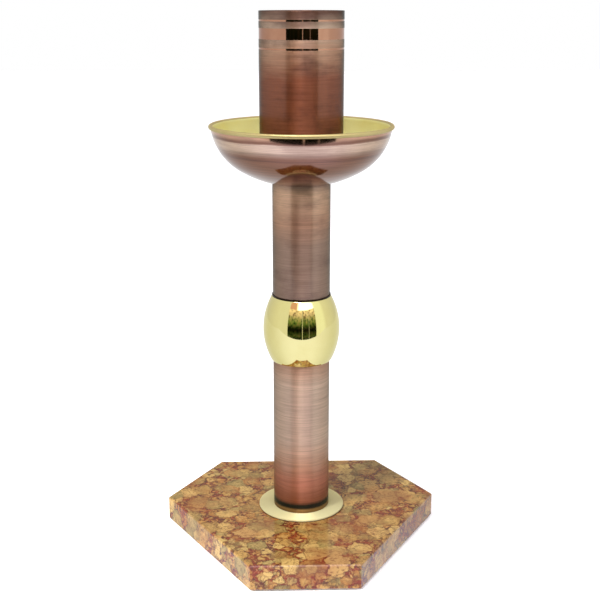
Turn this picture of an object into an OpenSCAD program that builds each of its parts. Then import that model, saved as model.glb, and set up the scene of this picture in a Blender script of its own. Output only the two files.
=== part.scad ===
// Altar candlestick: a marble foot, a two-part tubular stem with a round knop,
// a drip bowl with a brass wax liner, and a tall candle socket.
// One threaded rod clamps the stack from a nut under the marble to a nut in the bowl.
// The socket screws onto the end of the rod that stands above the upper nut.
// Millimetres, +Z up. The origin is on the stem's axis, on the surface it stands on.

/* [Marble foot] */
// Long sides of the six-sided slab
base_long = 138; // [120:1:150]
// Short sides of the six-sided slab
base_short = 82; // [60:1:90]
// Thickness of the slab
slab_t = 20; // [18:1:30]
// Polished bevel along the slab's edges
slab_bevel = 0.9; // [0.5:0.1:2]
// Thickness of the felt glued under the slab
felt_t = 1.5; // [1:0.5:3]

/* [Stem] */
// Outer diameter of both stem tubes
stem_d = 44.5; // [40:0.5:46]
// Length of the tube below the knop
lower_h = 124.2; // [60:0.1:300]
// Length of the tube above the knop
upper_h = 87.1; // [50:0.1:200]
// Wall of the stem tubes
stem_wall = 1.2; // [1:0.1:2]
// Diameter of the brass disc at the foot of the stem
disc_d = 68.5; // [60:0.5:74]

/* [Knop] */
// Largest diameter of the knop
knop_d = 60; // [58:0.5:64]
// Height of the knop
knop_h = 51.7; // [46:0.1:54]
// Radius of the knop's swelling outline
knop_arc = 54; // [52:0.5:60]

/* [Drip bowl] */
// Diameter to which the bowl's outer wall tends at the rim
bowl_d = 136.8; // [130:0.1:140]
// Height from the bowl's seat to the middle of its rim bead
rim_h = 42.3; // [38:0.1:44]
// Radius of the shallow lower part of the bowl
dish_arc = 92.8; // [88:0.1:100]
// Radius of the steep side of the bowl
side_arc = 43.4; // [40:0.1:46]
// Sheet of the copper bowl
bowl_t = 1; // [0.8:0.1:1.2]
// Sheet of the brass liner
liner_t = 0.9; // [0.7:0.1:1]

/* [Candle socket] */
// Outer diameter of the socket tube
socket_d = 63; // [60:0.5:66]
// Wall of the socket tube
socket_wall = 1; // [0.8:0.1:1.5]
// Height of the socket's mouth above the bowl's seat
socket_top_h = 126; // [80:0.5:160]
// Depth of the turned lines and of the polished band
turned_depth = 0.12; // [0.05:0.01:0.2]

/* [Fixing] */
// Diameter of the threaded rod
rod_d = 8; // [6:1:8]
// Turns of thread that hold the socket on the rod
socket_turns = 6; // [4:1:6]
// Pitch of the rod's thread
thread_pitch = 1.25; // [1:0.05:1.25]

/* [Hidden] */
$fn = 96;

// Small pieces and fits
fit = 0.05;            // radial gap of a part that is pushed into a tube
gasket_t = 0.6;        // sheet under the brass disc
disc_t = 1.2;          // brass disc at the foot of the stem
disc_edge = 0.5;       // rounding of the disc's upper edge
flange_t = 1.2;        // dark flange between the knop and the upper tube
flange_d = 45.8;
felt_inset = 5;        // from the slab's edge to the felt's
knop_drop = 0.6;       // widest level of the knop below its mid height
plug_h = 8;            // length of the plugs inside the tubes
spigot_r = 16.9;       // spigots that centre the knop
knop_wall = 1.2;
counterbore_r = 14;    // pocket for the nut under the slab
counterbore_h = 12;
bush_r = 7;            // bush that centres the rod in the marble
washer_r = 12;
washer_t = 2;
nut_af = 13;           // across the flats
nut_h = 6.5;
thin_nut_h = 4;
bead_r = 1.55;         // rolled bead on the liner's rim
bead_lap = 0.45;       // how far the bead overlaps the liner's wall
sheet_gap = 0.1;       // air between bowl and liner
seat_flat_r = 22.65;   // flat seat under the bowl
neck_r = 12;           // spigot that centres bowl and liner
fibre_t = 1;           // fibre washer under the socket
hub_r = 21;            // ring under the socket's floor
hub_wall = 5;
floor_t = 4;           // socket floor plate
boss_r = 9;            // threaded boss under the floor plate
boss_drop = 5;
boss_gap = 0.6;        // air between the boss and the nut below it
tube_gap = 4;          // from the liner's floor to the socket tube's end
nut_bevel = 0.8;
rod_bevel = 0.8;
spring_t = 3.4;        // width of the spring washer's ring
seat_step = 0.4;       // wider bore below the socket's floor, which stops against its shoulder
mouth_round = 0.4;     // rounding of the socket's mouth
hole_gap = 0.2;        // radial gap around the rod in a clearance hole
cut = 1;               // how far a cutting shape runs past the surface it cuts
lap = 0.1;             // overlap that joins two shapes of one solid

// Turned decoration on the socket, as [distance below the mouth, height]
turned_bands = [[6.2, 1.25], [12.2, 7.9], [26.1, 1.3]];

// Radii
stem_r = stem_d / 2;
bore_r = stem_r - stem_wall;
rod_r = rod_d / 2;
rod_hole_r = rod_r + hole_gap;
thread_r = rod_r + fit;
socket_r = socket_d / 2;
candle_r = socket_r - socket_wall;

// Heights
slab_top = felt_t + slab_t;
disc_z = slab_top + gasket_t;
stem_z = disc_z + disc_t;
knop_z = stem_z + lower_h;
knop_top = knop_z + knop_h;
upper_z = knop_top + flange_t;
bowl_z = upper_z + upper_h;
liner_z = bowl_z + bowl_t;
bowl_floor = liner_z + liner_t;
rim_z = bowl_z + rim_h;
base_washer_z = felt_t + counterbore_h - washer_t;
spring_washer_z = base_washer_z - washer_t;
base_nut_z = spring_washer_z - nut_h;
rod_z = base_nut_z - cut;
bowl_nut_z = bowl_floor + washer_t;
hub_z = bowl_floor + fibre_t;
boss_z = bowl_nut_z + thin_nut_h + boss_gap;
floor_z = boss_z + boss_drop;
floor_top = floor_z + floor_t;
rod_top = boss_z + socket_turns * thread_pitch;
socket_top = bowl_z + socket_top_h;
socket_z = bowl_floor + tube_gap;

// Centres of the bowl's two arcs, which meet tangentially
dish_z = bowl_z + sqrt(pow(dish_arc, 2) - pow(seat_flat_r, 2));
side_x = bowl_d / 2 - side_arc;
side_z = dish_z - sqrt(pow(dish_arc - side_arc, 2) - pow(side_x, 2));

// Outline of the slab: an equilateral triangle with its corners cut off, one cut facing -Y
triangle_side = base_long + 2 * base_short;
long_y = triangle_side / (2 * sqrt(3));
short_y = triangle_side / sqrt(3) - base_short * sqrt(3) / 2;

// ---- Shared shapes ----

module slab_outline(inset = 0) {
    side = triangle_side - inset * 2 * sqrt(3);
    intersection() {
        rotate(-90) circle(r = side / sqrt(3), $fn = 3);
        rotate(90) circle(r = 2 * (short_y - inset), $fn = 3);
    }
}

module ring(outer, inner, height) {
    difference() {
        cylinder(r = outer, h = height);
        translate([0, 0, -cut]) cylinder(r = inner, h = height + 2 * cut);
    }
}

module hex_nut(height) {
    corner_r = nut_af / sqrt(3);
    difference() {
        intersection() {
            cylinder(r = corner_r, h = height, $fn = 6);
            union() {
                cylinder(r1 = nut_af / 2, r2 = corner_r + lap, h = nut_bevel);
                translate([0, 0, nut_bevel]) cylinder(r = corner_r + lap, h = height - 2 * nut_bevel);
                translate([0, 0, height - nut_bevel])
                    cylinder(r1 = corner_r + lap, r2 = nut_af / 2, h = nut_bevel);
            }
        }
        translate([0, 0, -cut]) cylinder(r = thread_r, h = height + 2 * cut);
    }
}

// A turned plug in the end of a stem tube, bored for the rod
module plug_body(height) {
    ring(bore_r - fit, rod_hole_r, height);
}

module stem_tube(length) {
    ring(stem_r, bore_r, length);
}

// Half section of the space inside the bowl's outline, moved inwards by inset
module bowl_section(inset) {
    reach = dish_arc * 2;
    intersection() {
        union() {
            intersection() {
                translate([0, dish_z]) circle(r = dish_arc - inset, $fn = 180);
                polygon([
                    [0, dish_z],
                    [side_x / (dish_z - side_z) * reach, dish_z - reach],
                    [0, dish_z - reach]
                ]);
            }
            translate([side_x, side_z]) circle(r = side_arc - inset, $fn = 180);
        }
        translate([0, bowl_z + inset]) square([bowl_d, dish_arc]);
    }
}

// ---- Marble foot ----

module base_felt() {
    color("darkolivegreen") linear_extrude(felt_t) slab_outline(felt_inset);
}

module marble_base() {
    color("burlywood") difference() {
        hull() {
            translate([0, 0, felt_t]) linear_extrude(slab_t) slab_outline(slab_bevel);
            translate([0, 0, felt_t + slab_bevel]) linear_extrude(slab_t - 2 * slab_bevel) slab_outline();
        }
        translate([0, 0, felt_t - cut]) cylinder(r = counterbore_r, h = counterbore_h + cut);
        cylinder(r = bush_r + fit, h = slab_top + cut);
    }
}

module marble_bush() {
    bush_z = felt_t + counterbore_h;
    color("ivory") translate([0, 0, bush_z]) ring(bush_r, rod_hole_r, slab_top - bush_z);
}

module base_washer() {
    color("silver") translate([0, 0, base_washer_z]) ring(washer_r, rod_hole_r, washer_t);
}

module spring_washer() {
    slit = 1.6;
    color("dimgray") translate([0, 0, spring_washer_z]) difference() {
        ring(rod_r + spring_t, rod_hole_r, washer_t);
        translate([0, -slit / 2, -cut]) cube([washer_r, slit, washer_t + 2 * cut]);
    }
}

module base_nut() {
    color("silver") translate([0, 0, base_nut_z]) hex_nut(nut_h);
}

module tie_rod() {
    length = rod_top - rod_z;
    tip_r = rod_r - rod_bevel;
    color("gray") translate([0, 0, rod_z]) union() {
        cylinder(r1 = tip_r, r2 = rod_r, h = rod_bevel);
        translate([0, 0, rod_bevel]) cylinder(r = rod_r, h = length - 2 * rod_bevel);
        translate([0, 0, length - rod_bevel]) cylinder(r1 = rod_r, r2 = tip_r, h = rod_bevel);
    }
}

// ---- Stem ----

module foot_gasket() {
    color("black") translate([0, 0, slab_top]) ring(disc_d / 2, spigot_r + fit, gasket_t);
}

module foot_disc() {
    disc_r = disc_d / 2;
    color("gold") translate([0, 0, disc_z]) rotate_extrude() {
        translate([spigot_r + fit, 0]) square([disc_r - disc_edge - spigot_r - fit, disc_t]);
        translate([disc_r - disc_edge - lap, 0]) square([disc_edge + lap, disc_t - disc_edge]);
        intersection() {
            translate([disc_r - disc_edge, disc_t - disc_edge]) circle(r = disc_edge, $fn = 32);
            translate([disc_r - disc_edge - lap, 0]) square([2 * disc_edge, disc_t]);
        }
    }
}

module lower_foot_plug() {
    spigot_z = slab_top + hole_gap;
    color("darkgray") union() {
        translate([0, 0, stem_z]) plug_body(plug_h);
        translate([0, 0, spigot_z]) ring(spigot_r, rod_hole_r, stem_z - spigot_z);
    }
}

module lower_tube() {
    color("rosybrown") translate([0, 0, stem_z]) stem_tube(lower_h);
}

module lower_head_plug() {
    color("darkgray") union() {
        translate([0, 0, knop_z - plug_h]) plug_body(plug_h);
        translate([0, 0, knop_z]) ring(spigot_r, rod_hole_r, plug_h / 2);
    }
}

// A barrel turned from an arc, closed by flat ends with holes for the spigots
module knop() {
    arc_x = knop_d / 2 - knop_arc;
    mid_z = (knop_z + knop_top) / 2 - knop_drop;
    color("gold") rotate_extrude($fn = 180) difference() {
        intersection() {
            translate([arc_x, mid_z]) circle(r = knop_arc, $fn = 180);
            translate([spigot_r + fit, knop_z]) square([knop_d, knop_h]);
        }
        intersection() {
            translate([arc_x, mid_z]) circle(r = knop_arc - knop_wall, $fn = 180);
            translate([0, knop_z + knop_wall]) square([knop_d, knop_h - 2 * knop_wall]);
        }
    }
}

module knop_sleeve() {
    sleeve_z = knop_z + plug_h / 2;
    color("silver") translate([0, 0, sleeve_z]) ring(rod_r + 4, rod_hole_r, knop_h - plug_h);
}

module upper_foot_plug() {
    color("saddlebrown") union() {
        translate([0, 0, knop_top - plug_h / 2]) ring(spigot_r, rod_hole_r, plug_h / 2);
        translate([0, 0, knop_top]) ring(flange_d / 2, rod_hole_r, flange_t);
        translate([0, 0, upper_z]) plug_body(plug_h);
    }
}

module upper_tube() {
    color("rosybrown") translate([0, 0, upper_z]) stem_tube(upper_h);
}

module upper_head_plug() {
    color("darkgray") union() {
        translate([0, 0, bowl_z - plug_h]) plug_body(plug_h);
        translate([0, 0, bowl_z]) ring(neck_r, rod_hole_r, bowl_t + liner_t - hole_gap);
    }
}

// ---- Drip bowl ----

module drip_bowl() {
    edge_z = rim_z - bead_r - sheet_gap / 2;
    color("rosybrown") rotate_extrude($fn = 180) intersection() {
        difference() {
            bowl_section(0);
            bowl_section(bowl_t);
        }
        translate([neck_r + fit, 0]) square([bowl_d, edge_z]);
    }
}

module wax_liner() {
    outer = bowl_t + sheet_gap;
    inner = outer + liner_t;
    wall_x = side_x + sqrt(pow(side_arc - outer, 2) - pow(rim_z - side_z, 2));
    color("gold") rotate_extrude($fn = 180) {
        intersection() {
            difference() {
                bowl_section(outer);
                bowl_section(inner);
            }
            translate([hub_r, 0]) square([bowl_d, rim_z]);
        }
        translate([neck_r + fit, liner_z]) square([hub_r + 5 * lap - neck_r, liner_t]);
        translate([wall_x + bead_r - bead_lap, rim_z]) circle(r = bead_r, $fn = 48);
    }
}

module bowl_washer() {
    color("silver") translate([0, 0, bowl_floor]) ring(washer_r, rod_hole_r, washer_t);
}

module bowl_nut() {
    color("silver") translate([0, 0, bowl_nut_z]) hex_nut(thin_nut_h);
}

// ---- Candle socket ----

module socket_washer() {
    color("brown") translate([0, 0, bowl_floor]) ring(hub_r, hub_r - hub_wall, fibre_t);
}

module socket_floor() {
    color("goldenrod") difference() {
        union() {
            translate([0, 0, floor_z]) cylinder(r = candle_r + seat_step - fit, h = floor_t);
            translate([0, 0, hub_z]) ring(hub_r, hub_r - hub_wall, floor_z - hub_z + lap);
            translate([0, 0, boss_z]) cylinder(r = boss_r, h = boss_drop + lap);
        }
        translate([0, 0, boss_z - cut]) cylinder(r = thread_r, h = boss_drop + floor_t);
    }
}

module socket_tube() {
    color("rosybrown") rotate_extrude($fn = 180) difference() {
        union() {
            translate([candle_r, socket_z]) square([socket_wall, socket_top - socket_z - mouth_round]);
            translate([candle_r, socket_top - mouth_round - lap])
                square([socket_wall - mouth_round, mouth_round + lap]);
            intersection() {
                translate([socket_r - mouth_round, socket_top - mouth_round]) circle(r = mouth_round, $fn = 32);
                translate([candle_r, socket_top - mouth_round]) square(socket_wall);
            }
        }
        square([candle_r + seat_step, floor_top]);
        for (band = turned_bands)
            translate([socket_r - turned_depth, socket_top - band[0] - band[1]]) square([cut, band[1]]);
    }
}

base_felt();
marble_base();
marble_bush();
base_washer();
spring_washer();
base_nut();
tie_rod();
foot_gasket();
foot_disc();
lower_foot_plug();
lower_tube();
lower_head_plug();
knop();
knop_sleeve();
upper_foot_plug();
upper_tube();
upper_head_plug();
drip_bowl();
wax_liner();
bowl_washer();
bowl_nut();
socket_washer();
socket_floor();
socket_tube();
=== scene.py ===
"""Altar candlestick: polished, brushed and turned metal on a slab of nodular marble.

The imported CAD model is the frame. The round parts that show are turned again here with finer
outlines, rolled and eased edges. Every part gets a procedural material.
"""

import math

import bpy
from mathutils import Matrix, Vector


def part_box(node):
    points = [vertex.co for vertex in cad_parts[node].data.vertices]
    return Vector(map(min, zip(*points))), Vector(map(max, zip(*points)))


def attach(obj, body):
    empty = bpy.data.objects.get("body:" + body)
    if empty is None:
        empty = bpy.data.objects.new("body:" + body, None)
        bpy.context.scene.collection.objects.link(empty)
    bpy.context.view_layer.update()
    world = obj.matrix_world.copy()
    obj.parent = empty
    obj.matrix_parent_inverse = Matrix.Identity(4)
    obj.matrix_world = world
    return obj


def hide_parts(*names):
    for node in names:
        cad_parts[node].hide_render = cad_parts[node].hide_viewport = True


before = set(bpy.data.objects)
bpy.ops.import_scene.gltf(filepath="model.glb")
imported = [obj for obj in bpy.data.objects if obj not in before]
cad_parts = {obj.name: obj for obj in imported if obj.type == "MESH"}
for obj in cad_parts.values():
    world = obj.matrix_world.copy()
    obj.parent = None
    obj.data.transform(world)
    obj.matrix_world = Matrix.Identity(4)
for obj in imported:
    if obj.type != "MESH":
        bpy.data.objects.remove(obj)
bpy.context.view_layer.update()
MM = 0.001


# ---- Camera ----

CAMERA_PLACE = Vector((-25.85, -827.2, 421.0)) * MM
CAMERA_PITCH = math.radians(15.287)
CAMERA_YAW = math.radians(1.715)
SENSOR = 36.0
LENS = 65.92


def make_camera():
    data = bpy.data.cameras.new("camera")
    data.sensor_width = SENSOR
    data.lens = LENS
    data.clip_start = 0.01
    camera = bpy.data.objects.new("camera", data)
    camera.location = CAMERA_PLACE
    camera.rotation_euler = (math.radians(90) - CAMERA_PITCH, 0, -CAMERA_YAW)
    bpy.context.scene.collection.objects.link(camera)
    bpy.context.scene.camera = camera


# ---- Shader nodes ----


class Shader:
    """Builds a node tree with one short call per node. Most calls return an output socket."""

    def __init__(self, tree):
        self.tree = tree
        tree.nodes.clear()

    def node(self, kind, inputs=None, **settings):
        node = self.tree.nodes.new(kind)
        for key, value in settings.items():
            setattr(node, key, value)
        for key, value in (inputs or {}).items():
            if isinstance(value, bpy.types.NodeSocket):
                self.tree.links.new(value, node.inputs[key])
            else:
                node.inputs[key].default_value = value
        return node

    def math(self, operation, a, b=0.0):
        return self.node("ShaderNodeMath", {0: a, 1: b}, operation=operation).outputs[0]

    def vector_math(self, operation, a, b):
        node = self.node("ShaderNodeVectorMath", {0: a, 1: b}, operation=operation)
        return node.outputs["Vector"]

    def remap(self, value, low, high, to_low=0.0, to_high=1.0, smooth=False):
        """Carries the range low-high to the range to_low-to_high, and holds the ends."""
        kind = "SMOOTHSTEP" if smooth else "LINEAR"
        inputs = {
            "Value": value,
            "From Min": low,
            "From Max": high,
            "To Min": to_low,
            "To Max": to_high,
        }
        return self.node("ShaderNodeMapRange", inputs, interpolation_type=kind).outputs[0]

    def mix(self, factor, a, b, blend="MIX"):
        """Colour a where factor is 0, and b (or a blended with b) where it is 1."""
        node = self.node("ShaderNodeMix", data_type="RGBA", blend_type=blend)
        for socket, value in ((node.inputs[0], factor), (node.inputs[6], a), (node.inputs[7], b)):
            if isinstance(value, bpy.types.NodeSocket):
                self.tree.links.new(value, socket)
            else:
                socket.default_value = value
        return node.outputs[2]

    def place(self, scale=(1, 1, 1), offset=(0, 0, 0)):
        """Object coordinates, in metres, times scale."""
        coordinates = self.node("ShaderNodeTexCoord").outputs["Object"]
        inputs = {"Vector": coordinates, "Location": offset, "Scale": scale}
        return self.node("ShaderNodeMapping", inputs).outputs[0]

    def parts(self, vector):
        node = self.node("ShaderNodeSeparateXYZ", {0: vector})
        return node.outputs[0], node.outputs[1], node.outputs[2]

    def noise(self, vector, scale=1.0, detail=3.0, roughness=0.5):
        inputs = {"Vector": vector, "Scale": scale, "Detail": detail, "Roughness": roughness}
        return self.node("ShaderNodeTexNoise", inputs).outputs["Fac"]

    def ramp(self, factor, *stops):
        """Colour ramp through (position, colour) stops."""
        node = self.node("ShaderNodeValToRGB", {0: factor})
        elements = node.color_ramp.elements
        while len(elements) < len(stops):
            elements.new(0.5)
        for element, (position, colour) in zip(elements, stops):
            element.position = position
            element.color = colour
        return node.outputs[0]

    def shade(self, colour, value):
        """Colour times a plain value."""
        grey = self.node("ShaderNodeCombineColor", {0: value, 1: value, 2: value}).outputs[0]
        return self.mix(1.0, colour, grey, "MULTIPLY")

    def bump(self, height, distance, strength):
        inputs = {"Height": height, "Distance": distance, "Strength": strength}
        return self.node("ShaderNodeBump", inputs).outputs[0]

    def output(self, socket, kind="ShaderNodeOutputMaterial"):
        self.node(kind, {"Surface": socket})

    def principled(self, **inputs):
        names = {key.replace("_", " "): value for key, value in inputs.items()}
        self.output(self.node("ShaderNodeBsdfPrincipled", names).outputs[0])


def rgb(red, green, blue):
    """A colour given as 0-255 screen values, as linear light."""

    def linear(value):
        value /= 255
        return value / 12.92 if value <= 0.04045 else ((value + 0.055) / 1.055) ** 2.4

    return (linear(red), linear(green), linear(blue), 1.0)


def grey(value):
    return (value, value, value, 1.0)


def new_material(name):
    material = bpy.data.materials.new(name)
    material.use_nodes = True
    return material, Shader(material.node_tree)


# ---- Materials ----

CREAM = rgb(164, 135, 78)
TAN = rgb(132, 95, 42)
OCHRE = rgb(126, 75, 26)
OLIVE = rgb(108, 92, 50)
BRICK = rgb(104, 36, 14)
RUSSET = rgb(78, 34, 14)
UMBER = rgb(60, 33, 16)
VEIN_BROWN = rgb(66, 36, 24)
SOOT = rgb(84, 54, 50)
BOWL_HAZE = rgb(140, 104, 92)

# Copper tones, and the painted shade (black) and painted reflection of the foot disc
# (brass-coloured) at the foot of the stem
# Used only as the painted highlight at the top of the upper tube
PAINTED_HIGHLIGHT_COPPER = rgb(230, 190, 155)
PALE_COPPER = rgb(210, 180, 155)
ROSE_COPPER = rgb(200, 155, 125)
DULL_COPPER = rgb(165, 135, 115)
WARM_COPPER = rgb(200, 135, 110)
RED_COPPER = rgb(155, 95, 70)
BROWN_COPPER = rgb(135, 95, 75)
# Dark copper: painted shade deep in the socket's bore, a painted dark reflection at its mouth, and
# a thin dark line on the bowl
TARNISH_AND_SHADE = rgb(115, 80, 65)
# Black band painted as shade and dark reflection where the stem meets the foot disc
PAINTED_FOOT_SHADE = rgb(15, 12, 12)
# Brass colour painted as the foot disc's reflection in the lower tube
PAINTED_DISC_REFLECTION = rgb(145, 110, 65)

# Tones of each part by height, some of them painted light as marked: (height above the floor in mm,
# colour)
LOWER_TONES = (
    # Painted reflection of the foot disc, then painted shade, at the tube's foot
    (23, PAINTED_DISC_REFLECTION),
    (26, PAINTED_DISC_REFLECTION),
    (27.5, PAINTED_FOOT_SHADE),
    (30, PAINTED_FOOT_SHADE),
    (33, RED_COPPER),
    (50, WARM_COPPER),
    (65, ROSE_COPPER),
    (85, PALE_COPPER),
    (130, PALE_COPPER),
    (148, ROSE_COPPER),
)
UPPER_TONES = (
    (200, DULL_COPPER),
    (240, DULL_COPPER),
    (262, ROSE_COPPER),
    # Painted highlight just under the bowl
    (280, PAINTED_HIGHLIGHT_COPPER),
    (288, DULL_COPPER),
)
BOWL_TONES = (
    (286, DULL_COPPER),
    (293, BROWN_COPPER),
    (310, BROWN_COPPER),
    (311, TARNISH_AND_SHADE),
    (313, BROWN_COPPER),
    (316, DULL_COPPER),
    (318.5, PALE_COPPER),
    (323, PALE_COPPER),
    # Thin dark line under the rim: painted reflection of the dark opening in front
    (324, BROWN_COPPER),
    (325, BROWN_COPPER),
    (327, ROSE_COPPER),
)
SOCKET_TONES = (
    (305, RED_COPPER),
    (365, RED_COPPER),
    (385, ROSE_COPPER),
    (400, PALE_COPPER),
    (407, DULL_COPPER),
    # Dark line at the mouth: painted dark reflection on the rounded top edge
    (414, TARNISH_AND_SHADE),
)
INNER_TONES = (
    # Darker towards the bottom of the bore: painted shade
    (305, TARNISH_AND_SHADE),
    (414, BROWN_COPPER),
)


def turned_lines(shader, pitch, seed):
    """Fine lines round the axis, pitch mm apart, as a lathe or an abrasive belt leaves them."""
    vector = shader.place((30, 30, 1 / (pitch * MM)), (seed, seed, seed))
    return shader.noise(vector, 1.0, 3.0, 0.6)


def tones(shader, wobble, stops):
    """Colours by height. wobble, in mm, makes the edges between them uneven."""
    low, high = stops[0][0], stops[-1][0]
    drift = shader.noise(shader.place((25, 25, 60)), 1.0, 4.0, 0.6)
    drift = shader.remap(drift, 0.3, 0.7, -wobble * MM, wobble * MM)
    height = shader.math("ADD", shader.parts(shader.place())[2], drift)
    fraction = shader.remap(height, low * MM, high * MM)
    return shader.ramp(fraction, *(((z - low) / (high - low), colour) for z, colour in stops))


def round_the_axis(shader):
    """The direction of the brush or turning lines."""
    return shader.node("ShaderNodeTangent", direction_type="RADIAL", axis="Z").outputs[0]


def brushed_copper(name, seed, stain, wobble, stops):
    """Antique copper under clear lacquer, brushed round the tube, with tones by height, among them
    bands of painted shade, reflection and highlight.

    stain is the strength of the sooty clouds.
    """
    material, shader = new_material(name)
    fine = turned_lines(shader, 0.5, seed)
    coarse = turned_lines(shader, 1.7, seed + 7)
    clouds = shader.noise(shader.place((26, 26, 60), (seed, 0, 0)), 1.0, 4.0, 0.6)
    colour = tones(shader, wobble, stops)
    colour = shader.mix(shader.remap(clouds, 0.45, 0.75, 0, stain, True), colour, SOOT)
    colour = shader.shade(
        colour,
        shader.math(
            "MULTIPLY",
            shader.remap(fine, 0.3, 0.7, 0.8, 1.14),
            shader.remap(coarse, 0.3, 0.7, 0.88, 1.1),
        ),
    )
    shader.principled(
        Base_Color=colour,
        Metallic=1.0,
        Roughness=shader.remap(fine, 0.3, 0.7, 0.42, 0.52),
        Specular_Tint=(0.3, 0.36, 0.34, 1),
        Anisotropic=0.97,
        Anisotropic_Rotation=0.25,
        Tangent=round_the_axis(shader),
        Normal=shader.bump(fine, 0.003 * MM, 0.5),
        Coat_Weight=0.4,
        Coat_Roughness=0.15,
    )
    return material


def polished_metal(name, colour, worn, roughness, pitch, seed, brush=0.0, metallic=1.0):
    """Polished metal with a trace of turning lines and slight tarnish.

    brush spreads highlights across the lines. metallic below 1 stands for dull lacquer.
    """
    material, shader = new_material(name)
    lines = turned_lines(shader, pitch, seed)
    haze = shader.noise(shader.place((30, 30, 30), (seed, seed, 0)), 1.0, 4.0, 0.6)
    shader.principled(
        Base_Color=shader.mix(shader.remap(haze, 0.35, 0.75, 0, 0.6, True), colour, worn),
        Metallic=metallic,
        Roughness=shader.remap(haze, 0.3, 0.7, roughness * 0.8, roughness * 1.3),
        Anisotropic=brush,
        Anisotropic_Rotation=0.25,
        Tangent=round_the_axis(shader),
        Normal=shader.bump(lines, 0.001 * MM, 0.5),
    )
    return material


def spun_copper(name):
    """The bowl's outside: spun copper with rings of colour by height, one of them a painted
    reflection, lacquered.
    """
    material, shader = new_material(name)
    fine = turned_lines(shader, 0.7, 3.0)
    haze = shader.noise(shader.place((22, 22, 40)), 1.0, 4.0, 0.6)
    colour = tones(shader, 0.6, BOWL_TONES)
    colour = shader.mix(shader.remap(haze, 0.4, 0.7, 0, 0.35, True), colour, BOWL_HAZE)
    shader.principled(
        Base_Color=shader.shade(colour, shader.remap(fine, 0.3, 0.7, 0.78, 1.14)),
        Metallic=1.0,
        Roughness=0.11,
        Anisotropic=0.6,
        Anisotropic_Rotation=0.25,
        Tangent=round_the_axis(shader),
        Normal=shader.bump(fine, 0.001 * MM, 0.5),
        Coat_Weight=0.3,
        Coat_Roughness=0.05,
    )
    return material


def ragged_place(shader, place):
    """Coordinates pushed about by noise, so that outlines drawn with them are ragged."""
    inputs = {"Vector": place, "Scale": 130.0, "Detail": 5.0}
    warp = shader.node("ShaderNodeTexNoise", inputs).outputs["Color"]
    warp = shader.vector_math("SUBTRACT", warp, (0.5, 0.5, 0.5))
    reach = 11 * MM
    warp = shader.vector_math("MULTIPLY", warp, (reach, reach, reach))
    return shader.vector_math("ADD", place, warp)


def nodules(shader, colour, place, ragged, size, reach, *palette):
    """Lays rounded nodules over a colour: size is their spacing in mm, reach their share of it."""
    cell = shader.node("ShaderNodeTexVoronoi", {"Vector": ragged, "Scale": 1000 / size})
    swell = shader.remap(shader.noise(place, 400 / size, 2.0), 0.3, 0.7, -0.12, 0.12)
    inside = shader.math("SUBTRACT", shader.math("ADD", swell, reach), cell.outputs["Distance"])
    stone = shader.ramp(shader.parts(cell.outputs["Color"])[0], *palette)
    stone = shader.mix(shader.remap(inside, 0.05, 0.4, 0, 0.5), stone, CREAM)
    colour = shader.mix(shader.remap(inside, 0.0, 0.03, 0, 1, True), colour, stone)
    outline = shader.remap(shader.math("ABSOLUTE", inside), 0.0, 0.045, 0.7, 0)
    return shader.mix(outline, colour, UMBER)


def marble():
    """Nodular marble: tan nodules in a brick-red matrix, with olive patches and veins, polished."""
    material, shader = new_material("marble")
    place = shader.place()
    ragged = ragged_place(shader, place)
    earth = shader.remap(shader.noise(place, 90.0, 4.0, 0.6), 0.42, 0.58)
    colour = shader.mix(earth, BRICK, RUSSET)
    for size, reach, palette in (
        (4.0, 0.5, ((0.0, OCHRE), (0.4, BRICK), (0.7, TAN), (1.0, OLIVE))),
        (9.0, 0.5, ((0.0, TAN), (0.45, OCHRE), (0.8, CREAM), (1.0, OLIVE))),
        (17.0, 0.52, ((0.0, TAN), (0.35, CREAM), (0.6, OCHRE), (0.85, OLIVE))),
    ):
        colour = nodules(shader, colour, place, ragged, size, reach, *palette)

    mottle = shader.noise(ragged, 380.0, 7.0, 0.72)
    colour = shader.mix(shader.remap(mottle, 0.5, 0.62, 0, 0.75), colour, UMBER)
    colour = shader.mix(shader.remap(mottle, 0.47, 0.36, 0, 0.55), colour, CREAM)
    vein = shader.math("SUBTRACT", shader.noise(ragged, 34.0, 5.0, 0.6), 0.5)
    vein = shader.remap(shader.math("ABSOLUTE", vein), 0.0, 0.01, 0.7, 0)
    colour = shader.mix(vein, colour, VEIN_BROWN)
    dull = shader.remap(shader.noise(place, 46.0, 3.0), 0.5, 0.62, 0, 0.4, True)
    colour = shader.mix(dull, colour, OLIVE)
    blush = shader.remap(shader.noise(place, 30.0, 3.0), 0.5, 0.64, 0, 0.4, True)
    colour = shader.mix(blush, colour, BRICK)
    shader.principled(
        Base_Color=colour,
        Roughness=shader.remap(mottle, 0.3, 0.7, 0.06, 0.14),
        IOR=1.52,
        Normal=shader.bump(mottle, 0.01 * MM, 0.3),
    )
    return material


def felt():
    material, shader = new_material("felt")
    fibres = shader.noise(shader.place(), 2400.0, 5.0, 0.7)
    shader.principled(
        Base_Color=shader.mix(fibres, rgb(48, 66, 40), rgb(84, 104, 70)),
        Roughness=0.95,
        Sheen_Weight=0.4,
        Normal=shader.bump(fibres, 0.2 * MM, 0.6),
    )
    return material


def plain_solid(name, low, high, roughness, grain):
    """A part that hardly shows: two tones of one colour, mixed by a fine grain."""
    material, shader = new_material(name)
    speckle = shader.noise(shader.place(), grain, 4.0, 0.6)
    shader.principled(
        Base_Color=shader.mix(speckle, low, high),
        Roughness=shader.remap(speckle, 0.3, 0.7, roughness * 0.85, roughness * 1.15),
        Normal=shader.bump(speckle, 0.02 * MM, 0.4),
    )
    return material


# ---- Turned shapes ----

SEGMENTS = 256
SHARP_ANGLE = math.radians(35)


def arc(centre, radius, start, end, steps):
    """Points (r, z) of an arc, from one angle to another in degrees."""
    points = []
    for step in range(steps + 1):
        angle = math.radians(start + (end - start) * step / steps)
        points.append((centre[0] + radius * math.cos(angle), centre[1] + radius * math.sin(angle)))
    return points


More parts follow.
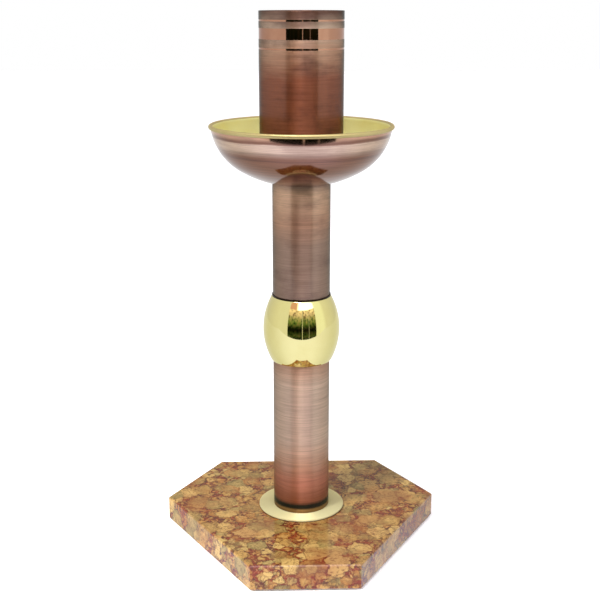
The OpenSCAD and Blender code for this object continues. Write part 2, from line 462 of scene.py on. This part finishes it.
def turned(name, outline, materials, paint=None):
    """A closed outline of (r, z) points in mm, turned round the Z axis.

    paint(r, z) gives the index of the material for the face whose middle is there.
    """
    count = len(outline)
    vertices = []
    for step in range(SEGMENTS):
        angle = 2 * math.pi * step / SEGMENTS
        cosine = math.cos(angle)
        sine = math.sin(angle)
        vertices += [(r * MM * cosine, r * MM * sine, z * MM) for r, z in outline]
    faces = []
    slots = []
    for step in range(SEGMENTS):
        here = step * count
        there = (step + 1) % SEGMENTS * count
        for i in range(count):
            j = (i + 1) % count
            faces.append((here + i, there + i, there + j, here + j))
            middle_r = (outline[i][0] + outline[j][0]) / 2
            middle_z = (outline[i][1] + outline[j][1]) / 2
            slots.append(paint(middle_r, middle_z) if paint else 0)
    mesh = bpy.data.meshes.new(name)
    mesh.from_pydata(vertices, [], faces)
    for material in materials:
        mesh.materials.append(material)
    for polygon, slot in zip(mesh.polygons, slots):
        polygon.material_index = slot
        polygon.use_smooth = True
    mesh.set_sharp_from_angle(angle=SHARP_ANGLE)
    mesh.validate()
    piece = bpy.data.objects.new(name, mesh)
    bpy.context.scene.collection.objects.link(piece)
    return piece


def dimensions(node):
    """(outer radius, lowest z, highest z) of a round CAD node, in mm."""
    low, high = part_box(node)
    return (high.x - low.x) / 2 / MM, low.z / MM, high.z / MM


def stands_for(piece, node, body):
    """Shows piece in place of the CAD node, as part of the same body."""
    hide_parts(node)
    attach(piece, body)


# ---- Pieces ----

# Sizes in mm. The first three belong to this script, and the others repeat the CAD model's.

# Rounding of the outer edges
EASE = 0.3
# Chamfer under the rim of the foot disc
DISC_CHAMFER = 0.1
# How far off a surface the middle of a face may lie and still be painted as part of it
NEAR = 0.1

STEM_WALL = 1.2
# Hole in the foot disc and in the knop
SPIGOT_HOLE_R = 16.95
DISC_EDGE_R = 0.5
KNOP_ARC = 54.0
KNOP_WALL = 1.2
KNOP_DROP = 0.6
BOWL_R = 68.4
BOWL_T = 1.0
LINER_T = 0.9
SHEET_GAP = 0.1
DISH_ARC = 92.8
SIDE_ARC = 43.4
SEAT_FLAT_R = 22.65
# Hole in the bowl and in its liner
NECK_HOLE_R = 12.05
BEAD_R = 1.55
BEAD_LAP = 0.45
SOCKET_WALL = 1.0
TURNED_DEPTH = 0.12
# Distance below the mouth and height of the turned lines and of the polished band
TURNED_BANDS = ((6.2, 1.25), (12.2, 7.9), (26.1, 1.3))


def eased_tube(outer, inner, low, high):
    """Outline of a tube whose two outer edges are slightly rounded."""
    outline = arc((outer - EASE, low + EASE), EASE, -90, 0, 4)
    outline += arc((outer - EASE, high - EASE), EASE, 0, 90, 4)
    outline += [(inner, high), (inner, low)]
    return outline


def stem_tube(node, material):
    outer, low, high = dimensions(node)
    piece = turned(node + "_brushed", eased_tube(outer, outer - STEM_WALL, low, high), [material])
    stands_for(piece, node, "stand")


def foot_disc(material):
    outer, low, high = dimensions("foot_disc")
    outline = [(SPIGOT_HOLE_R, low), (outer - DISC_CHAMFER, low), (outer, low + DISC_CHAMFER)]
    outline += arc((outer - DISC_EDGE_R, high - DISC_EDGE_R), DISC_EDGE_R, 0, 90, 8)
    outline += [(SPIGOT_HOLE_R, high)]
    piece = turned("foot_disc_turned", outline, [material])
    stands_for(piece, "foot_disc", "stand")


def knop(material):
    outer, low, high = dimensions("knop")
    centre = (outer - KNOP_ARC, (low + high) / 2 - KNOP_DROP)

    def side(radius, bottom, top, steps):
        start = math.degrees(math.asin((bottom - centre[1]) / radius))
        end = math.degrees(math.asin((top - centre[1]) / radius))
        return arc(centre, radius, start, end, steps)

    skin = side(KNOP_ARC, low + EASE, high - EASE, 72)
    hollow = side(KNOP_ARC - KNOP_WALL, low + KNOP_WALL, high - KNOP_WALL, 36)
    outline = [(SPIGOT_HOLE_R, low), (skin[0][0] - EASE, low)] + skin
    outline += [(skin[-1][0] - EASE, high), (SPIGOT_HOLE_R, high)]
    outline += [(SPIGOT_HOLE_R, high - KNOP_WALL)]
    outline += hollow[::-1] + [(SPIGOT_HOLE_R, low + KNOP_WALL)]
    piece = turned("knop_polished", outline, [material])
    stands_for(piece, "knop", "stand")


def bowl_side(inset, seat_z, top):
    """Points of the bowl's outline, moved inwards by inset, from its flat seat up to height top."""
    dish_z = seat_z + math.sqrt(DISH_ARC**2 - SEAT_FLAT_R**2)
    side_r = BOWL_R - SIDE_ARC
    drop = math.sqrt((DISH_ARC - SIDE_ARC) ** 2 - side_r**2)
    join = -math.degrees(math.atan2(drop, side_r))
    floor = seat_z + inset
    start = -math.degrees(math.asin((dish_z - floor) / (DISH_ARC - inset)))
    end = math.degrees(math.asin((top - dish_z + drop) / (SIDE_ARC - inset)))
    dish = arc((0, dish_z), DISH_ARC - inset, start, join, 40)
    side = arc((side_r, dish_z - drop), SIDE_ARC - inset, join, end, 40)
    return dish + side[1:]


def drip_bowl(material):
    _, low, high = dimensions("drip_bowl")
    outside = bowl_side(0, low, high)
    inside = bowl_side(BOWL_T, low, high)
    outline = [(NECK_HOLE_R, low)] + outside + inside[::-1] + [(NECK_HOLE_R, low + BOWL_T)]
    piece = turned("drip_bowl_spun", outline, [material])
    stands_for(piece, "drip_bowl", "stand")


def wax_liner(inside_brass, bead_brass):
    """The brass liner with its rolled bead, which covers the ends of the sheet's two faces."""
    _, low, high = dimensions("wax_liner")
    seat_z = low - BOWL_T
    rim_z = high - BEAD_R
    outer_inset = BOWL_T + SHEET_GAP
    outside_top = rim_z - 0.9 * BEAD_R
    inside_top = rim_z - 0.3
    outside = bowl_side(outer_inset, seat_z, outside_top)
    inside = bowl_side(outer_inset + LINER_T, seat_z, inside_top)
    edge_r = bowl_side(outer_inset, seat_z, rim_z)[-1][0]
    bead = (edge_r + BEAD_R - BEAD_LAP, rim_z)
    outline = [(NECK_HOLE_R, low)] + outside
    outline += arc(bead, BEAD_R, -115, 165, 40)
    outline += inside[::-1] + [(NECK_HOLE_R, low + LINER_T)]

    def paint(r, z):
        return 1 if math.hypot(r - bead[0], z - bead[1]) < BEAD_R + NEAR else 0

    piece = turned("wax_liner_spun", outline, [inside_brass, bead_brass], paint)
    stands_for(piece, "wax_liner", "stand")


def socket_tube(brushed, polished, inner):
    outer, low, high = dimensions("socket_tube")
    bore = outer - SOCKET_WALL
    outline = arc((outer - EASE, low + EASE), EASE, -90, 0, 4)
    for below, height in reversed(TURNED_BANDS):
        top = high - below
        outline += [(outer, top - height), (outer - TURNED_DEPTH, top - height)]
        outline += [(outer - TURNED_DEPTH, top), (outer, top)]
    outline += arc((outer - EASE, high - EASE), EASE, 0, 90, 4)
    outline += [(bore, high), (bore, low)]

    def paint(r, z):
        # The rounded top edge takes the inner copper's darker tone, as a painted dark reflection
        # along the mouth
        if r < bore + NEAR or z > high - EASE:
            return 2
        in_band = any(high - below - height < z < high - below for below, height in TURNED_BANDS)
        return 1 if in_band and r < outer - TURNED_DEPTH / 2 else 0

    piece = turned("socket_tube_brushed", outline, [brushed, polished, inner], paint)
    stands_for(piece, "socket_tube", "socket")


def finish_node(node, material, bevel=0.0):
    """Gives a CAD node that shows its own shape a material and, if asked, a bevel in mm."""
    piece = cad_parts[node]
    piece.data.materials.clear()
    piece.data.materials.append(material)
    if bevel:
        modifier = piece.modifiers.new("bevel", "BEVEL")
        modifier.width = bevel * MM
        modifier.segments = 2
        modifier.angle_limit = math.radians(30)


# ---- Studio ----

# The opening's half width, its top, and the top of the soft box, in degrees
GAP_HALF = 43.7
GAP_TOP = 29.5
BOX_TOP = 78
TABLE_FRONT = 500 * MM
WHITE = grey(1.0)

# Foliage: (value of the noise, colour)
FOLIAGE_GREEN = (
    (0.35, (0.1, 0.2, 0.04, 1)),
    (0.5, (0.5, 0.8, 0.2, 1)),
    (0.62, (1, 0.9, 0.4, 1)),
)
FOLIAGE_WARM = (
    (0.35, (0.3, 0.21, 0.16, 1)),
    (0.5, (0.8, 0.64, 0.52, 1)),
    (0.62, (1, 0.78, 0.62, 1)),
)
# Brightness of the room from 20 degrees below the horizon (0) to 30 above it (1)
ROOM_LIGHT = (
    (0.0, 0.01),
    (0.12, 0.12),
    (0.3, 0.012),
    (0.36, 0.012),
    (0.42, 0.07),
    (0.5, 0.22),
    (0.7, 0.6),
    (0.95, 1.6),
)


def facing(shader, x, y):
    """Azimuth of a direction, in radians: 0 towards the camera's side, positive to its right."""
    return shader.math("ARCTAN2", x, shader.math("MULTIPLY", y, -1.0))


def band(shader, azimuth, centre, half, soft=0.0):
    """1 within half of a centre azimuth, in degrees, falling to 0 over soft degrees."""
    away = shader.math("SUBTRACT", azimuth, math.radians(centre))
    away = shader.math("ABSOLUTE", away)
    if soft:
        return shader.remap(away, math.radians(half), math.radians(half + soft), 1, 0, True)
    return shader.math("LESS_THAN", away, math.radians(half))


def room(shader, direction, azimuth, elevation):
    """Beyond the opening: dark near the horizon, foliage colours above, and two upright lines."""
    stretched = shader.node("ShaderNodeMapping", {0: direction, "Scale": (9, 9, 13)}).outputs[0]
    leaves = shader.noise(stretched, 1.0, 5.0)
    colour = shader.mix(
        shader.remap(elevation, math.radians(8), math.radians(20)),
        shader.ramp(leaves, *FOLIAGE_GREEN),
        shader.ramp(leaves, *FOLIAGE_WARM),
    )
    height = shader.remap(elevation, math.radians(-20), math.radians(30))
    light = shader.ramp(height, *((place, grey(value)) for place, value in ROOM_LIGHT))
    colour = shader.mix(1.0, colour, light, "MULTIPLY")
    faint = shader.math("MULTIPLY", band(shader, azimuth, 21.4, 0.7), 0.5)
    lines = shader.math("ADD", band(shader, azimuth, 1.3, 0.8), faint)
    return shader.mix(lines, colour, (0.8, 0.78, 0.72, 1))


def tent(shader, azimuth, elevation):
    """White cloth all round, dimmer towards the back and a little brighter on the right."""
    side = shader.math("ABSOLUTE", azimuth)
    colour = shader.mix(shader.remap(elevation, -0.2, 1.2), grey(0.93), WHITE)
    low_back = shader.math(
        "MULTIPLY",
        shader.remap(side, math.radians(140), math.radians(155), 0, 1, True),
        shader.remap(elevation, math.radians(6), math.radians(12)),
    )
    colour = shader.mix(low_back, colour, (0.68, 0.62, 0.52, 1))
    far = shader.remap(side, math.radians(70), math.radians(140), 0, 1, True)
    colour = shader.mix(far, colour, (0.8, 0.8, 0.82, 1), "MULTIPLY")
    right = shader.mix(band(shader, azimuth, 56, 12, 14), WHITE, (1.2, 1.25, 1.25, 1))
    return shader.mix(1.0, colour, right, "MULTIPLY")


def make_world():
    """A light tent with an opening towards the camera and a soft box above the opening.

    The camera itself sees plain white.
    """
    world = bpy.data.worlds.new("tent")
    world.use_nodes = True
    bpy.context.scene.world = world
    shader = Shader(world.node_tree)
    direction = shader.node("ShaderNodeTexCoord").outputs["Generated"]
    x, y, z = shader.parts(direction)
    azimuth = facing(shader, x, y)
    elevation = shader.math("ARCSINE", z)
    in_gap = band(shader, azimuth, 0, GAP_HALF)
    below_gap_top = shader.math("LESS_THAN", elevation, math.radians(GAP_TOP))
    below_box_top = shader.math("LESS_THAN", elevation, math.radians(BOX_TOP))
    in_room = shader.math("MULTIPLY", in_gap, below_gap_top)
    in_box = shader.math("MULTIPLY", in_gap, below_box_top)
    soft_box = shader.mix(
        band(shader, azimuth, 15, 24, 12),
        (0.9, 0.5, 0.45, 1),
        (3.35, 3.25, 3.7, 1),
    )
    colour = shader.mix(in_box, tent(shader, azimuth, elevation), soft_box)
    colour = shader.mix(in_room, colour, room(shader, direction, azimuth, elevation))
    is_camera = shader.node("ShaderNodeLightPath").outputs["Is Camera Ray"]
    colour = shader.mix(is_camera, colour, WHITE)
    background = shader.node("ShaderNodeBackground", {0: colour}).outputs[0]
    shader.output(background, "ShaderNodeOutputWorld")


def flat_card(name, low, high, material):
    corners = ((low[0], low[1]), (high[0], low[1]), (high[0], high[1]), (low[0], high[1]))
    mesh = bpy.data.meshes.new(name)
    mesh.from_pydata([(x, y, 0) for x, y in corners], [], [(0, 1, 2, 3)])
    mesh.materials.append(material)
    card = bpy.data.objects.new(name, mesh)
    bpy.context.scene.collection.objects.link(card)
    return card


def make_floor():
    material, shader = new_material("pale_floor")
    cloudy = shader.noise(shader.place(), 3.0, 2.0)
    shader.principled(
        Base_Color=shader.mix(cloudy, grey(0.93), grey(0.95)),
        Roughness=0.9,
        Specular_IOR_Level=0.1,
        Emission_Color=WHITE,
        Emission_Strength=0.12,
    )
    floor = flat_card("floor", (-4, -4), (4, 6), material)
    floor.visible_glossy = False


def make_table():
    """A bright table top that only reflections see. It ends in front of the object."""
    material, shader = new_material("table_top")
    x, y, _ = shader.parts(shader.place())
    side = shader.math("ABSOLUTE", facing(shader, x, y))
    away = shader.remap(side, math.radians(25), math.radians(120), 0, 1, True)
    colour = shader.mix(away, (1.18, 1.2, 1.42, 1), (0.86, 0.87, 0.88, 1))
    shader.output(shader.node("ShaderNodeEmission", {0: colour}).outputs[0])
    table = flat_card("table_card", (-1.5, -TABLE_FRONT), (1.5, 2), material)
    table.location.z = -0.001
    table.visible_camera = False
    table.visible_diffuse = False
    table.visible_shadow = False
    table.visible_transmission = False


def area_light(name, place, target, size, power):
    data = bpy.data.lights.new(name, "AREA")
    data.size = size
    data.energy = power
    light = bpy.data.objects.new(name, data)
    light.location = place
    light.rotation_euler = (Vector(target) - Vector(place)).to_track_quat("-Z", "Y").to_euler()
    bpy.context.scene.collection.objects.link(light)
    return light


def make_lights():
    area_light("key_light", (-0.25, -0.5, 1.7), (0, 0, 0.1), 0.5, 8)
    side_light = area_light("side_light", (-1.0, -0.9, 1.0), (0, 0, 0.1), 0.3, 42)
    side_light.visible_glossy = False


# ---- Build ----

make_camera()
bpy.context.scene.view_settings.view_transform = "Standard"

lower_copper = brushed_copper("lower_copper", seed=3.1, stain=0.15, wobble=0.5, stops=LOWER_TONES)
upper_copper = brushed_copper("upper_copper", seed=8.4, stain=0.4, wobble=4.0, stops=UPPER_TONES)
socket_copper = brushed_copper("socket_copper", seed=5.7, stain=0.6, wobble=4.0, stops=SOCKET_TONES)
inner_copper = brushed_copper("inner_copper", seed=9.9, stain=0.5, wobble=2.0, stops=INNER_TONES)
band_copper = polished_metal(
    "band_copper",
    rgb(188, 142, 116),
    rgb(160, 110, 86),
    roughness=0.05,
    pitch=0.4,
    seed=2.0,
)
knop_brass = polished_metal(
    "polished_brass",
    rgb(230, 220, 150),
    rgb(222, 208, 132),
    roughness=0.05,
    pitch=0.5,
    seed=4.0,
)
disc_brass = polished_metal(
    "disc_brass",
    rgb(238, 230, 178),
    rgb(228, 218, 160),
    roughness=0.7,
    pitch=0.4,
    seed=6.0,
    brush=0.9,
    metallic=0.8,
)
liner_brass = polished_metal(
    "liner_brass",
    rgb(245, 240, 168),
    rgb(242, 234, 156),
    roughness=0.5,
    pitch=0.8,
    seed=1.0,
)
bead_brass = polished_metal(
    "bead_brass",
    rgb(208, 192, 134),
    rgb(190, 170, 114),
    roughness=0.5,
    pitch=0.6,
    seed=15.0,
)
turned_brass = polished_metal(
    "turned_brass",
    rgb(200, 176, 110),
    rgb(170, 140, 80),
    roughness=0.3,
    pitch=0.3,
    seed=12.0,
)
# Dark collar between the knop and the upper tube: painted shadow for the gap at that joint
dark_bronze = polished_metal(
    "dark_bronze",
    rgb(58, 44, 30),
    rgb(34, 26, 20),
    roughness=0.4,
    pitch=0.5,
    seed=13.0,
)
steel = polished_metal(
    "steel",
    rgb(178, 180, 180),
    rgb(140, 142, 140),
    roughness=0.3,
    pitch=0.25,
    seed=14.0,
)
nylon = plain_solid(
    "nylon",
    rgb(214, 208, 190),
    rgb(232, 228, 214),
    roughness=0.5,
    grain=900.0,
)
cork = plain_solid(
    "cork",
    rgb(52, 36, 24),
    rgb(84, 60, 40),
    roughness=0.85,
    grain=1400.0,
)
red_fibre = plain_solid(
    "red_fibre",
    rgb(122, 46, 34),
    rgb(150, 64, 48),
    roughness=0.7,
    grain=1600.0,
)

stem_tube("lower_tube", lower_copper)
stem_tube("upper_tube", upper_copper)
foot_disc(disc_brass)
knop(knop_brass)
drip_bowl(spun_copper("bowl_copper"))
wax_liner(liner_brass, bead_brass)
socket_tube(socket_copper, band_copper, inner_copper)

finish_node("marble_base", marble(), bevel=0.35)
finish_node("base_felt", felt(), bevel=0.4)
# The collar shows as a thin dark line: painted shadow of the joint
finish_node("upper_foot_plug", dark_bronze)
for plug in ("lower_foot_plug", "lower_head_plug", "upper_head_plug", "socket_floor"):
    finish_node(plug, turned_brass, bevel=0.2)
for fastener in (
    "tie_rod",
    "base_nut",
    "base_washer",
    "spring_washer",
    "knop_sleeve",
    "bowl_washer",
    "bowl_nut",
):
    finish_node(fastener, steel)
finish_node("marble_bush", nylon)
finish_node("foot_gasket", cork)
finish_node("socket_washer", red_fibre)

make_world()
make_floor()
make_table()
make_lights()
